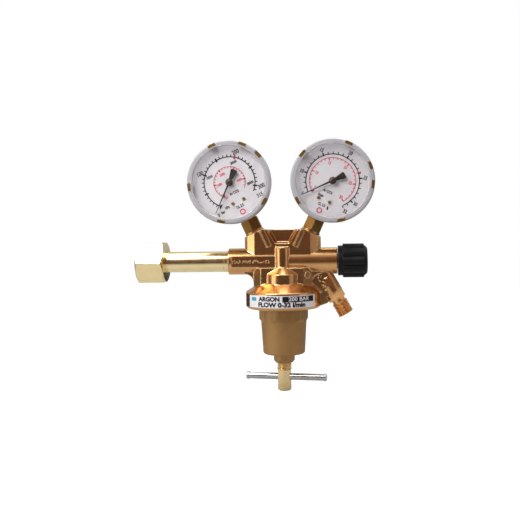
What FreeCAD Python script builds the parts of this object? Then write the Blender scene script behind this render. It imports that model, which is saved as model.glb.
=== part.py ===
"""Two-gauge gas regulator for a shielding-gas cylinder, as an assembly of its separate pieces.

Millimetres. Everything is modelled about the crossing of the two main axes: the horizontal inlet-to-knob
axis (X) and the vertical spring axis (Z), with the dials facing -Y. move_to_frame then shifts every piece so
that the finished part's origin is the centre of the inlet nut's mouth, with +X pointing into the regulator.
"""
import FreeCAD
import Part
import math
import os

# ---- driving dimensions ------------------------------------------------------------------------------
INLET_REACH = 118.0        # inlet nut mouth to spring axis

NUT_AF = 32.0              # across flats, W21.8 cylinder connection
NUT_LENGTH = 22.6
NUT_THREAD_R = 9.9         # plain wall that stands for the W21.8 x 1/14 thread
NUT_THREAD_LENGTH = 13.5
STEM_R = 8.3               # inlet stem

BAR_R = 10.65              # forged cross bar
BAR_HALF = 44.0
RING_R = 30.3              # diaphragm housing
RING_BOTTOM = -37.5
BONNET_AF = 36.0
BONNET_TURN = -13.0        # degrees the housing's flats are turned about Z
BONNET_BOTTOM = -74.5
NECK_BOTTOM = -82.0

GAUGE_LEAN = 24.5          # degrees from vertical
GAUGE_X = 40.9             # dial centre from the spring axis
GAUGE_Z = 63.6             # dial centre above the bar's axis
GAUGE_R = 33.25            # window rim, nominal size 63 gauge
CASE_R = 31.5
PORT_DEPTH = 44.3          # dial centre to the boss face, along the gauge's stem
GAUGE_THREAD_R = 6.55

OUTLET_LEAN = 29.5         # degrees from vertical
OUTLET_X = 26.4            # where the outlet axis leaves the bar's axis
OUTLET_FACE = 29.7         # along the outlet axis
OUTLET_THREAD_R = 6.58     # G1/4
OUTLET_END = 49.2

SCREW_R = 5.95             # M12 adjusting screw
SCREW_TOP = -68.5
SCREW_SHOULDER = -88.1
SCREW_END = -104.5
SHANK_AF = 9.9
BAR_HANDLE_Z = -93.5
BAR_HANDLE_R = 2.7
BAR_HANDLE_YAW = -9.0      # rest angle of the handle bar about Z

KNOB_START = 44.4
KNOB_END = 68.0
KNOB_R = 12.1
KNOB_RIB_R = 14.0
KNOB_RIBS = 10

GAP = 0.05                 # running clearance
UP = FreeCAD.Vector(0, 0, 1)
ORIGIN = FreeCAD.Vector(0, 0, 0)

parts = {}
shared = {}


# ---- helpers -----------------------------------------------------------------------------------------
def point(x, y, z):
    return FreeCAD.Vector(x, y, z)


def rod(radius, start, end):
    """Cylinder from start to end."""
    along = end - start
    return Part.makeCylinder(radius, along.Length, start, along)


def tube(outer, inner, start, end):
    return rod(outer, start, end).cut(rod(inner, start, end))


def taper(first, second, start, end):
    """Cone frustum from radius first at start to radius second at end."""
    along = end - start
    return Part.makeCone(first, second, along.Length, start, along)


def block(x0, x1, y0, y1, z0, z1):
    return Part.makeBox(x1 - x0, y1 - y0, z1 - z0, point(x0, y0, z0))


def fuse(shapes):
    return shapes[0].multiFuse(shapes[1:]).removeSplitter()


def cut(shape, tools):
    for tool in tools:
        shape = shape.cut(tool)
    return shape


def plate(outline, y0, y1):
    """Flat plate from an outline of (x, z) points, between two Y planes."""
    corners = [point(x, y0, z) for x, z in outline]
    face = Part.Face(Part.makePolygon(corners + corners[:1]))
    return face.extrude(point(0, y1 - y0, 0))


def turned(profile, start, along):
    """Solid of revolution. profile is (distance along the axis, radius, optional corner rounding) steps,
    closed back onto the axis at both ends."""
    steps = [(profile[0][0], 0)] + list(profile)
    if profile[-1][1] > 0:
        steps.append((profile[-1][0], 0))
    corners = [point(step[1], 0, step[0]) for step in steps]
    edges = []
    last = corners[0]
    for i in range(1, len(steps)):
        here = corners[i]
        rounding = steps[i][2] if len(steps[i]) > 2 else 0
        if rounding:
            back = (corners[i - 1] - here).normalize()
            ahead = (corners[i + 1] - here).normalize()
            half = back.getAngle(ahead) / 2
            reach = rounding / math.tan(half)
            middle = here + (back + ahead).normalize() * (rounding / math.sin(half) - rounding)
            arc = Part.Arc(here + back * reach, middle, here + ahead * reach)
            edges.append(Part.makeLine(last, here + back * reach))
            edges.append(arc.toShape())
            last = here + ahead * reach
        else:
            edges.append(Part.makeLine(last, here))
            last = here
    edges.append(Part.makeLine(last, corners[0]))
    solid = Part.Face(Part.Wire(edges)).revolve(ORIGIN, UP, 360)
    solid.Placement = FreeCAD.Placement(start, FreeCAD.Rotation(UP, along))
    return solid


def hexagon(across_flats, start, end, turn=0.0):
    """Hexagonal prism. With turn 0 a corner faces -Y when the axis lies in the XZ plane."""
    along = end - start
    corner_r = across_flats / math.sqrt(3)
    corners = []
    for i in range(6):
        angle = math.radians(60 * i + turn)
        corners.append(point(corner_r * math.sin(angle), -corner_r * math.cos(angle), 0))
    prism = Part.Face(Part.makePolygon(corners + corners[:1])).extrude(point(0, 0, along.Length))
    lean = math.degrees(math.atan2(along.x, along.z))
    prism.Placement = FreeCAD.Placement(start, FreeCAD.Rotation(point(0, 1, 0), lean))
    return prism


def chamfered_hexagon(across_flats, start, end, bevel, turn=0.0):
    """Nut blank: hexagon with 30 degree corner chamfers at both ends."""
    length = (end - start).Length
    corner_r = across_flats / math.sqrt(3)
    drop = (corner_r - across_flats / 2 + bevel) * math.tan(math.radians(30))
    turned_blank = turned([(0, across_flats / 2 - bevel), (drop, corner_r),
                           (length - drop, corner_r), (length, across_flats / 2 - bevel)], start, end - start)
    return hexagon(across_flats, start, end, turn).common(turned_blank)


def coil(mean_r, wire_r, z0, z1, turns):
    """Coil spring about Z with both ends ground flat at z0 and z1."""
    overrun = wire_r * 1.2
    pitch = (z1 - z0 + 2 * overrun - 2 * wire_r) / turns
    start = z0 - overrun + wire_r
    helix = Part.makeHelix(pitch, pitch * turns, mean_r)
    helix.translate(point(0, 0, start))
    section = Part.Wire(Part.makeCircle(wire_r, point(mean_r, 0, start), point(0, mean_r, pitch / 6.2832)))
    pipe = Part.Wire(helix.Edges).makePipeShell([section], True, True)
    reach = mean_r + 2 * wire_r
    slab = block(-reach, reach, -reach, reach, z0, z1)
    return Part.Solid(pipe.Shells[0]).common(slab) if pipe.ShapeType != "Solid" else pipe.common(slab)


def ball_ring(major, minor, centre, axis):
    """O-ring."""
    return Part.makeTorus(major, minor, centre, axis)


def on_outlet(distance):
    """Point on the outlet axis."""
    lean = math.radians(OUTLET_LEAN)
    return point(OUTLET_X + distance * math.sin(lean), 0, -distance * math.cos(lean))


def gauge_placement(side):
    """Places a gauge drawn about its own dial centre. side is -1 for the left gauge, 1 for the right."""
    turn = FreeCAD.Rotation(point(0, 1, 0), side * GAUGE_LEAN)
    return FreeCAD.Placement(point(side * GAUGE_X, 0, GAUGE_Z), turn)


def on_gauge(side, distance):
    """Point on a gauge's stem axis, distance below its dial centre."""
    return gauge_placement(side).multVec(point(0, 0, -distance))


# ---- inlet -------------------------------------------------------------------------------------------
NUT_MOUTH = -INLET_REACH
NUT_BACK = NUT_MOUTH + NUT_LENGTH
THREAD_END = NUT_MOUTH + NUT_THREAD_LENGTH
SHOULDER = THREAD_END + 4.5
CLIP_AT = SHOULDER + 1.6


def on_x(x):
    return point(x, 0, 0)


def make_inlet():
    nut = chamfered_hexagon(NUT_AF, on_x(NUT_MOUTH), on_x(NUT_BACK), 0.6)
    nut = cut(nut, [
        rod(NUT_THREAD_R, on_x(NUT_MOUTH - 1), on_x(THREAD_END)),
        rod(11.2, on_x(THREAD_END), on_x(SHOULDER)),
        rod(STEM_R + 0.15, on_x(SHOULDER - 1), on_x(NUT_BACK + 1)),
        rod(9.5, on_x(CLIP_AT), on_x(CLIP_AT + 1.2)),
    ])
    parts["inlet_nut"] = nut
    parts["nut_clip_ring"] = tube(9.35, STEM_R + GAP, on_x(CLIP_AT + 0.1), on_x(CLIP_AT + 1.1))

    collar_front = SHOULDER - 2.2
    stem = fuse([
        rod(5.8, on_x(THREAD_END + 0.1), on_x(collar_front)),
        rod(9.6, on_x(collar_front), on_x(SHOULDER - GAP)),
        rod(STEM_R, on_x(SHOULDER - GAP), on_x(-47.8)),
        rod(STEM_R - 0.5, on_x(-47.8), on_x(-46.9)),
        rod(STEM_R + 0.2, on_x(-46.9), on_x(-BAR_HALF)),
        rod(7.0, on_x(-BAR_HALF), on_x(-34.2)),
    ])
    pocket_end = THREAD_END + 13.0
    stem = stem.cut(rod(4.6, on_x(THREAD_END), on_x(pocket_end)))
    stem = stem.cut(rod(3.0, on_x(pocket_end - 1), on_x(-30)))
    groove = tube(7.0, 5.2, on_x(THREAD_END + 0.6), on_x(THREAD_END + 1.6))
    parts["inlet_stem"] = stem.cut(groove)
    parts["inlet_o_ring"] = ball_ring(5.85, 0.45, on_x(THREAD_END + 1.1), point(1, 0, 0))
    sleeve = rod(4.55, on_x(THREAD_END + 1.2), on_x(pocket_end - 0.1))
    parts["inlet_filter"] = sleeve.cut(rod(2.9, on_x(THREAD_END + 3), on_x(pocket_end)))
    parts["filter_clip"] = tube(4.55, 3.4, on_x(THREAD_END + 0.4), on_x(THREAD_END + 1.1))


# ---- forged body -------------------------------------------------------------------------------------
BLOCK_HALF_Y = 9.2
PLATEAU = 25.7
VALVE_FRONT_Y = -7.0
CHAMBER_ROOF = -21.0
SEAT_PLANE = -27.5
THREADED_R = 27.0
RELIEF_Z = -12.5
RELIEF_FACE = 24.5
LABEL_HALF_ANGLE = 57.0    # degrees of the ring covered on each side of the front


def prism(outline, z0, z1):
    """Upright prism from an outline of (x, y) points."""
    corners = [point(x, y, z0) for x, y in outline]
    return Part.Face(Part.makePolygon(corners + corners[:1])).extrude(point(0, 0, z1 - z0))


def four_way(quarter):
    """Closed outline symmetric in x and y from the points of its quarter with x > 0 and y < 0."""
    right = quarter + [(x, -y) for x, y in reversed(quarter)]
    return right + [(-x, y) for x, y in reversed(right)]


def gauge_block():
    front = plate([(-30.9, 2), (-30.9, 19.45), (-17.2, PLATEAU), (17.2, PLATEAU), (30.9, 19.45), (30.9, 2)],
                  -BLOCK_HALF_Y, BLOCK_HALF_Y)
    plan = four_way([(22.3, -BLOCK_HALF_Y), (28.3, -6.4), (30.8, -1.6)])
    pieces = [front.common(prism(plan, 0, 30))]
    for side in (-1, 1):
        pieces.append(rod(8.2, on_gauge(side, PORT_DEPTH), on_gauge(side, PORT_DEPTH + 14)))
        inward = gauge_placement(side).Rotation.multVec(point(-side * 6.3, 0, 0))
        for y in (-1, 1):
            beside = inward + point(0, y * (BLOCK_HALF_Y - 1.7), 0)
            pieces.append(rod(2.9, on_gauge(side, PORT_DEPTH + 0.9) + beside,
                              on_gauge(side, PORT_DEPTH + 15.2) + beside))
    return pieces


def neck():
    octagon = four_way([(17.3, -13.0), (23.4, -7.0)])
    fillet = [(-31.0, -8.0), (-31.0, -9.6), (-28.2, -10.3), (-25.6, -11.9), (-24.0, -14.2), (-23.4, -17.2),
              (-20.0, -17.2), (-20.0, -8.0)]
    mirrored = [(-x, z) for x, z in fillet]
    return [prism(octagon, -20.5, -5), plate(fillet, -7.0, 7.0), plate(mirrored, -7.0, 7.0)]


def housing_ring():
    return turned([(0, 28.6, 1.0), (1.9, RING_R, 1.0), (RING_BOTTOM * -1 - 24.1, RING_R, 1.8),
                   (RING_BOTTOM * -1 - 17.6, 19.6)], point(0, 0, RING_BOTTOM), UP)


def tower_axis(z):
    """Point on the upright axis of the front tower."""
    return point(0, VALVE_FRONT_Y, z)


def body_outside():
    tower = turned([(0, 13.4), (7.9, 13.4, 0.5), (13.3, 6.1), (29.6, 6.1, 1.0)], tower_axis(-17.9), UP)
    relief_boss = rod(8.6, point(0, 8, RELIEF_Z), point(0, RELIEF_FACE, RELIEF_Z))
    bar = turned([(0, BAR_R, 0.6), (2 * BAR_HALF, BAR_R, 0.6)], on_x(-BAR_HALF), point(1, 0, 0))
    return fuse(gauge_block() + neck() + outlet_arm() + [bar, housing_ring(), tower, relief_boss])


def beside_outlet(along, across, y=0.0):
    """Point beside the outlet axis: across is positive towards the knob."""
    lean = math.radians(OUTLET_LEAN)
    return on_outlet(along) + point(across * math.cos(lean), y, across * math.sin(lean))


def outlet_arm():
    boss = turned([(0, 6.4), (7.0, 7.3), (14.0, 7.3, 0.8)], on_outlet(OUTLET_FACE - 14.0),
                  on_outlet(1) - on_outlet(0))
    edge = [beside_outlet(-2, 7.1), beside_outlet(OUTLET_FACE, 7.1), beside_outlet(OUTLET_FACE, 0)]
    outline = [(12, -3)] + [(p.x, p.z) for p in edge]
    outline += [(36.6, -33.0), (35.4, -33.9), (27.0, -37.0), (20, -28), (12, -20)]
    web = plate(outline, -6.2, 6.2)
    spot_face = rod(9.0, on_outlet(OUTLET_FACE), on_outlet(OUTLET_FACE + 20))
    pieces = [web.cut(spot_face), boss]
    for y in (-6.2, 6.2):
        pieces.append(rod(1.7, beside_outlet(4, 5.2, y), beside_outlet(OUTLET_FACE - 1.2, 5.2, y)))
        pieces.append(rod(0.6, point(20.8, y, -15.6), point(31.0, y, -25.0)))
    return pieces


def body_hollows():
    recess = [(-14.6, PLATEAU + 3), (14.6, PLATEAU + 3), (5.6, 14.4), (-5.6, 14.4)]
    floor = [(-11.4, PLATEAU + 3), (11.4, PLATEAU + 3), (4.4, 15.8), (-4.4, 15.8)]
    hollows = []
    for y in (-1, 1):
        # the recess between the gauge bosses narrows towards its floor
        mouth = [point(x, y * (BLOCK_HALF_Y + 0.01), z) for x, z in recess]
        bottom = [point(x, y * 4.4, z) for x, z in floor]
        wires = [Part.makePolygon(corners + corners[:1]) for corners in (mouth, bottom)]
        hollows.append(Part.makeLoft(wires, True, True))
    hollows += [
        # flat on the front of the inlet side of the bar
        block(-40.8, 0.0, -12, -9.75, -5, 5).cut(rod(6.1, tower_axis(-6), tower_axis(6))),
        # inlet socket, high-pressure passage and chamber
        rod(7.0 + GAP, on_x(-BAR_HALF - 1), on_x(-34.0)),
        rod(3.0, on_x(-35), on_x(0)),
        rod(6.5, point(0, 0, -19), point(0, 0, 7.5)),
        rod(8.0, point(0, 0, -24), point(0, 0, -15)),
        # low-pressure chamber and the threaded seat for the spring housing
        rod(21.0, point(0, 0, -28), point(0, 0, CHAMBER_ROOF)),
        rod(THREADED_R, point(0, 0, RING_BOTTOM - 1), point(0, 0, SEAT_PLANE)),
        rod(2.0, point(14, 0, -22), point(14, 0, 0)),
        rod(2.5, on_x(9.6), on_x(26)),
        # outlet valve chamber and gland socket
        rod(5.5, on_x(24), on_x(34)),
        rod(7.0 + GAP, on_x(31), on_x(BAR_HALF + 1)),
        rod(2.5, on_outlet(0), on_outlet(20)),
        rod(6.0 + GAP, on_outlet(18.7), on_outlet(OUTLET_FACE + 1)),
        # relief valve socket and its bleed passage
        rod(6.0 + GAP, point(0, 13.5, RELIEF_Z), point(0, RELIEF_FACE + 1, RELIEF_Z)),
        rod(1.6, point(0, 13.0, -22), point(0, 13.0, RELIEF_Z)),
        rod(1.6, point(0, 12.0, RELIEF_Z), point(0, 14.0, RELIEF_Z)),
    ]
    port_end = PORT_DEPTH + 12.5
    for side in (-1, 1):
        hollows.append(rod(GAUGE_THREAD_R + GAP, on_gauge(side, PORT_DEPTH - 4), on_gauge(side, port_end)))
        hollows.append(rod(1.5, on_gauge(side, port_end - 1), on_x(side * 11.5)))
    return hollows


def make_body():
    parts["body"] = cut(body_outside(), body_hollows()).removeSplitter()
    band = tube(RING_R + 0.3, RING_R + 0.02, point(0, 0, -35.1), point(0, 0, -25.6))
    half = math.radians(LABEL_HALF_ANGLE)
    edge = (60 * math.sin(half), -60 * math.cos(half))
    parts["label"] = band.common(prism([(0, 0), (-edge[0], edge[1]), (0, -120), edge], -45, -15))


# ---- pressure reducing valve -------------------------------------------------------------------------
def at_z(z):
    return point(0, 0, z)


def make_valve():
    nozzle = fuse([
        rod(7.95, at_z(-21.1), at_z(-15.1)),
        hexagon(13.0, at_z(-24.4), at_z(-21.1)),
    ])
    nozzle = nozzle.cut(rod(1.9, at_z(-25), at_z(-15)))
    parts["valve_nozzle"] = nozzle.cut(tube(9, 7.1, at_z(-18.8), at_z(-17.6)))
    parts["nozzle_o_ring"] = ball_ring(7.55, 0.42, at_z(-18.2), UP)

    parts["valve_poppet"] = fuse([rod(4.6, at_z(-13.6), at_z(-9.0)), rod(2.2, at_z(-9.0), at_z(-3.6))])
    parts["poppet_seat"] = rod(3.6, at_z(-15.05), at_z(-13.6))
    parts["poppet_spring"] = coil(3.6, 0.5, -8.9, 7.3, 7)
    parts["push_pin"] = fuse([rod(1.3, at_z(-26.2), at_z(-15.06)), rod(1.75, at_z(-26.2), at_z(-24.9))])


def make_diaphragm():
    under = SEAT_PLANE - 1.2
    parts["diaphragm"] = tube(26.8, 2.95, at_z(under), at_z(SEAT_PLANE))
    parts["slip_washer"] = tube(26.8, 22.0, at_z(under - 0.85), at_z(under))
    parts["diaphragm_plate"] = fuse([
        rod(13.5, at_z(under - 3.0), at_z(under)),
        rod(9.6, at_z(under - 6.3), at_z(under - 3.0)),
        rod(2.9, at_z(under), at_z(SEAT_PLANE)),
    ])
    parts["diaphragm_washer"] = rod(8.0, at_z(SEAT_PLANE), at_z(SEAT_PLANE + 1.25))


# ---- spring housing and adjusting screw --------------------------------------------------------------
FLANGE_TOP = -29.6
SPRING_FLOOR = -71.0
BUTTON_TOP = -63.0
HANDLE_LEFT = -31.6        # ends of the handle bar from the spring axis
HANDLE_RIGHT = 34.6


def make_bonnet():
    corner_trim = turned([(0, 18.3), (2.2, 20.15), (15, 20.15)], at_z(-48.4), UP)
    hex_head = hexagon(BONNET_AF, at_z(-48.4), at_z(RING_BOTTOM + 1), BONNET_TURN).common(corner_trim)
    skirt = turned([(0, 16.9, 1.6), (26.5, 18.45), (36, 18.45)], at_z(BONNET_BOTTOM), UP)
    nose = turned([(0, 6.9, 1.2), (2.0, 8.5, 0.8), (9.0, 8.5)], at_z(NECK_BOTTOM), UP)
    flange = rod(THREADED_R - GAP, at_z(RING_BOTTOM), at_z(FLANGE_TOP))
    bonnet = fuse([hex_head, skirt, nose, flange])
    parts["bonnet"] = cut(bonnet, [
        rod(22.0, at_z(-34.6), at_z(FLANGE_TOP + 1)),
        rod(15.4, at_z(SPRING_FLOOR), at_z(-34)),
        rod(SCREW_R + GAP, at_z(NECK_BOTTOM - 1), at_z(SPRING_FLOOR + 1)),
        rod(1.5, point(0, 0, -52), point(0, 30, -52)),
    ])
    parts["range_spring"] = coil(11.9, 2.1, BUTTON_TOP, SEAT_PLANE - 4.2, 4.5)

    ball = at_z(BUTTON_TOP - 4.5)
    button = fuse([
        rod(13.5, at_z(BUTTON_TOP - 3.4), at_z(BUTTON_TOP)),
        rod(9.5, at_z(BUTTON_TOP), at_z(BUTTON_TOP + 2.5)),
    ])
    parts["spring_button"] = button.cut(Part.makeSphere(3.03, ball))
    parts["thrust_ball"] = Part.makeSphere(3.0, ball)

    across = handle_direction()
    shank = hexagon(SHANK_AF, at_z(SCREW_END), at_z(SCREW_SHOULDER + 0.5), BAR_HANDLE_YAW)
    shank = shank.common(turned([(0, 4.3), (1.0, 5.6), (20, 5.6)], at_z(SCREW_END), UP))
    threaded = turned([(0, 5.2), (0.8, SCREW_R), (SCREW_TOP - SCREW_SHOULDER - 0.8, SCREW_R),
                       (SCREW_TOP - SCREW_SHOULDER, 5.2)], at_z(SCREW_SHOULDER), UP)
    hole = rod(BAR_HANDLE_R + 0.1, at_z(BAR_HANDLE_Z) - across * 10, at_z(BAR_HANDLE_Z) + across * 10)
    parts["adjusting_screw"] = cut(fuse([shank, threaded]), [Part.makeSphere(3.03, ball), hole])

    lip_r, lip = BAR_HANDLE_R + 0.35, 2.4
    length = HANDLE_RIGHT - HANDLE_LEFT
    parts["handle_bar"] = turned([
        (0, lip_r, 0.6), (lip - 0.3, lip_r), (lip, BAR_HANDLE_R), (length - lip, BAR_HANDLE_R),
        (length - lip + 0.3, lip_r), (length, lip_r, 0.6)], at_z(BAR_HANDLE_Z) + across * HANDLE_LEFT, across)


def handle_direction():
    yaw = math.radians(BAR_HANDLE_YAW)
    return point(math.cos(yaw), math.sin(yaw), 0)


# ---- outlet valve and hose connection ----------------------------------------------------------------
def make_outlet():
    gland = turned([(0, 6.2), (0.8, 7.0), (12.6, 7.0), (12.7, 6.2), (15.5, 6.2)], on_x(31.4), point(1, 0, 0))
    gland = cut(gland, [
        rod(4.6, on_x(31), on_x(37)),
        rod(3.05, on_x(36), on_x(48)),
        rod(4.2, on_x(40), on_x(42)),
    ])
    parts["valve_gland"] = gland
    parts["gland_o_ring"] = ball_ring(3.6, 0.5, on_x(41), point(1, 0, 0))
    parts["valve_stem"] = fuse([
        rod(2.0, on_x(28.2), on_x(30.5)),
        rod(4.5, on_x(30.5), on_x(34.9)),
        rod(3.0, on_x(34.9), on_x(54.0)),
        hexagon(4.6, on_x(54.0), on_x(61.0)),
    ])
    parts["seat_pad"] = rod(4.4, on_x(24.05), on_x(28.15))

    length = KNOB_END - KNOB_START
    knob = turned([(0, KNOB_R, 0.7), (length - 1.9, KNOB_R, 0.6), (length, KNOB_R - 2.0, 0.8)],
                  on_x(KNOB_START), point(1, 0, 0))
    ribs = []
    for i in range(KNOB_RIBS):
        angle = math.radians(360.0 / KNOB_RIBS * i)
        out = point(0, math.cos(angle), math.sin(angle)) * (KNOB_RIB_R - 4.0)
        ribs.append(turned([(0, 4.0, 0.6), (17.0, 4.0, 0.6)], on_x(KNOB_START + 3.9) + out, point(1, 0, 0)))
    knob = fuse([knob] + ribs)
    parts["knob"] = cut(knob, [
        rod(10.4, on_x(KNOB_START - 1), on_x(KNOB_START + 5.0)),
        rod(6.5, on_x(KNOB_START + 4), on_x(KNOB_START + 7.5)),
        rod(3.05, on_x(KNOB_START + 6), on_x(54.05)),
        hexagon(4.7, on_x(54.0), on_x(61.05)),
        rod(2.2, on_x(60), on_x(63)),
        rod(6.0, on_x(62.4), on_x(KNOB_END + 1)),
    ])
    screw = fuse([rod(1.7, on_x(61.05), on_x(62.45)), rod(3.6, on_x(62.45), on_x(64.4))])
    parts["knob_screw"] = screw.cut(block(63.6, 65, -4, 4, -0.45, 0.45))
    parts["knob_cap"] = turned([(0, 5.9), (1.0, 5.9), (1.3, 5.4)], on_x(65.8), point(1, 0, 0))

    nipple = fuse([
        rod(6.0, on_outlet(20.2), on_outlet(OUTLET_FACE)),
        chamfered_hexagon(14.0, on_outlet(OUTLET_FACE), on_outlet(OUTLET_FACE + 5.8), 0.2),
        rod(5.4, on_outlet(OUTLET_FACE + 5.8), on_outlet(OUTLET_FACE + 8.2)),
        turned([(0, OUTLET_THREAD_R - 0.9), (0.9, OUTLET_THREAD_R), (10.7, OUTLET_THREAD_R),
                (OUTLET_END - OUTLET_FACE - 8.2, OUTLET_THREAD_R - 0.9)], on_outlet(OUTLET_FACE + 8.2),
               on_outlet(1) - on_outlet(0)),
    ])
    parts["outlet_nipple"] = cut(nipple, [
        rod(2.4, on_outlet(19), on_outlet(OUTLET_END + 1)),
        taper(2.4, 4.6, on_outlet(OUTLET_END - 4.0), on_outlet(OUTLET_END)),
    ])


# ---- relief valve on the back of the low-pressure chamber --------------------------------------------
def make_relief():
    def back(y):
        return point(0, y, RELIEF_Z)

    along = point(0, 1, 0)
    hex_head = hexagon(14.0, at_z(0), at_z(4.5), 30.0)
    backwards = FreeCAD.Placement(back(RELIEF_FACE), FreeCAD.Rotation(UP, along))
    hex_head.Placement = backwards.multiply(hex_head.Placement)
    housing = fuse([rod(6.0, back(13.9), back(RELIEF_FACE)), hex_head, rod(6.1, back(28.5), back(35.0))])
    parts["relief_housing"] = cut(housing, [rod(1.5, back(13), back(17)), rod(4.2, back(15.9), back(36))])
    parts["relief_disc"] = fuse([rod(3.9, back(15.95), back(17.9)), rod(1.3, back(17.9), back(23.0))])
    spring = coil(2.9, 0.45, 0.0, 14.0, 6)
    spring.Placement = FreeCAD.Placement(back(17.9), FreeCAD.Rotation(UP, along))
    parts["relief_spring"] = spring
    parts["relief_adjuster"] = rod(4.15, back(31.9), back(34.9)).cut(rod(1.6, back(31), back(36)))
    cap = turned([(0, 7.1, 0.4), (5.5, 7.1, 0.8)], back(31.0), along)
    parts["relief_cap"] = cut(cap, [rod(6.1 + GAP, back(30), back(35.1)), rod(1.6, back(34), back(40))])


# ---- gauges ------------------------------------------------------------------------------------------
DIAL_Y = -14.0
LUG_ANGLES = (0, 45, 72, 144, 216, 288)             # bayonet lugs, clockwise from the top of the dial
POINTER_REST = {"high": 228.5, "low": 221.8}        # degrees clockwise from the top of the dial
POSTS = ((-7.5, -13.3), (7.5, -13.3), (7.5, 4.5), (-7.5, 4.5))


def at_lug(shape, angle):
    """Turns a shape drawn at the top of the dial to one of the lug positions."""
    shape.rotate(ORIGIN, point(0, 1, 0), angle)
    return shape


def make_gauge(side, name):
    spot = gauge_placement(side)

    def add(piece, shape):
        shape.Placement = spot.multiply(shape.Placement)
        parts[name + "_" + piece] = shape

    def share(group, solids):
        for solid in solids:
            solid.Placement = spot.multiply(solid.Placement)
            shared.setdefault(group, []).append(solid)

    def facing(radius, y0, y1, x=0.0, z=0.0):
        return rod(radius, point(x, y0, z), point(x, y1, z))

    case = turned([(0, CASE_R, 2.0), (24.4, CASE_R)], point(0, 9.5, 0), point(0, -1, 0))
    case = cut(case, [
        facing(CASE_R - 0.9, 8.6, -20),
        rod(6.3, point(0, 0, -34), point(0, 0, -25)),
        facing(5.0, 8, 12, 0, 12),
    ])
    rim = facing(GAUGE_R - 0.15, -12.0, -19.9)
    add("case", fuse([case] + [at_lug(block(-3.0, 3.0, -19.9, -12.0, 30.7, 34.0), angle).common(rim)
                               for angle in LUG_ANGLES]))
    share("blowout_plugs", [fuse([facing(4.95, 8.5, 9.6, 0, 12), facing(6.6, 9.55, 11.0, 0, 12)])])

    outer = turned([(0, GAUGE_R), (10.4, GAUGE_R, 1.4), (10.4, 29.4), (9.8, 28.9, 0.3), (10.2, 0)],
                   point(0, -10.0, 0), point(0, -1, 0))
    window = outer.cut(turned([(-1, CASE_R + GAP), (8.3, CASE_R + GAP), (8.9, 0)],
                              point(0, -10.0, 0), point(0, -1, 0)))
    add("window", cut(window, [at_lug(block(-3.25, 3.25, -22.0, -11.2, 30.4, 36.0), angle)
                               for angle in LUG_ANGLES]))

    dial = facing(30.4, DIAL_Y, DIAL_Y + 0.6).cut(facing(1.6, DIAL_Y - 1, DIAL_Y + 2))
    for x in (-4.7, 4.7):
        dial = dial.cut(facing(0.75, DIAL_Y - 1, DIAL_Y + 2, x, -16.6))
        head = facing(1.35, DIAL_Y - 0.7, DIAL_Y, x, -16.6)
        share("dial_screws", [fuse([head, facing(0.7, DIAL_Y - 0.1, DIAL_Y + 3.0, x, -16.6)])])
    add("dial", dial)

    socket = fuse([
        block(-6.0, 6.0, -5.0, 5.0, -26.0, -14.6),
        rod(6.2, point(0, 0, -32.6), point(0, 0, -25.5)),
        chamfered_hexagon(14.0, point(0, 0, -42.6), point(0, 0, -32.4), 0.2),
        rod(GAUGE_THREAD_R, point(0, 0, -55.4), point(0, 0, -42.6)),
    ])
    add("stem", cut(socket, [
        rod(1.2, point(0, 0, -56), point(0, 0, -18)),
        rod(1.2, point(7, 0, -19.8), point(0, 0, -19.8)),
    ]))
    share("gauge_seals", [tube(7.6, GAUGE_THREAD_R + GAP, point(0, 0, -44.28), point(0, 0, -42.62))])

    oval = Part.Face(Part.Wire(Part.Ellipse(ORIGIN, 4.0, 1.4).toShape()))
    oval.rotate(ORIGIN, UP, 90)
    oval.translate(point(20.5, 0, 0))
    tube_arc = oval.revolve(ORIGIN, point(0, 1, 0), 270.5)
    tube_arc.rotate(ORIGIN, point(0, 1, 0), 160)
    root = block(6.0, 9.5, -3.0, 3.0, -22.6, -17.0)
    tip = plate([(-20.4, -5.4), (-20.0, -8.4), (-16.2, -7.9), (-16.2, -6.1)], -3.5, -2.5)
    add("bourdon_tube", fuse([tube_arc, root, tip]))

    plates = [plate([(-9, -14.4), (9, -14.4), (9, 6), (-9, 6)], y, y + 1.0) for y in (-9.0, -1.0)]
    posts = [facing(1.0, -9.0, 0.0, x, z) for x, z in POSTS]
    movement = fuse(plates + posts)
    movement = cut(movement, [facing(0.9, -10, 1, 0, 0), facing(0.9, -10, 1, 0, -9.75)])
    add("movement_frame", movement)

    arbor = fuse([facing(0.8, DIAL_Y - 2.6, -0.2), facing(1.1, -6.6, -4.4)])
    add("pointer_arbor", arbor)

    needle_y = DIAL_Y - 2.3
    needle = plate([(-0.75, 0), (-0.22, 27.0), (0.22, 27.0), (0.75, 0)], needle_y, needle_y + 0.5)
    tail = plate([(-0.7, 0), (-2.9, -10.0), (-1.5, -10.9), (1.5, -10.9), (2.9, -10.0), (0.7, 0)],
                 needle_y, needle_y + 0.5)
    hub = fuse([facing(2.9, needle_y - 0.5, needle_y + 0.7), facing(1.8, needle_y - 1.1, needle_y + 0.7)])
    pointer = fuse([needle, tail, hub]).cut(facing(0.82, -20, -10))
    pointer.rotate(ORIGIN, point(0, 1, 0), POINTER_REST[name])
    add("pointer", pointer)

    pin = (-7.6, -7.5)
    sector = fuse([
        plate([(-4.2, -2.2), (-2.2, -1.55), (0, -1.35), (2.2, -1.55), (4.2, -2.2),
               (1.4, -9.75), (-1.4, -9.75)], -6.2, -4.8),
        facing(1.9, -6.8, -4.2, 0, -9.75),
        plate([(0, -8.5), (0, -11.0), (-8.2, -8.7), (-7.2, -6.4)], -6.2, -4.8),
        facing(0.82, -8.9, -0.1, 0, -9.75),
    ])
    add("sector", sector.cut(facing(0.56, -7, -4, *pin)))
    link = plate([(-6.6, -8.3), (-6.6, -6.7), (-18.0, -6.3), (-18.0, -7.7)], -4.7, -3.9)
    add("link", fuse([link, facing(0.5, -6.4, -4.6, *pin)]))


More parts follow.
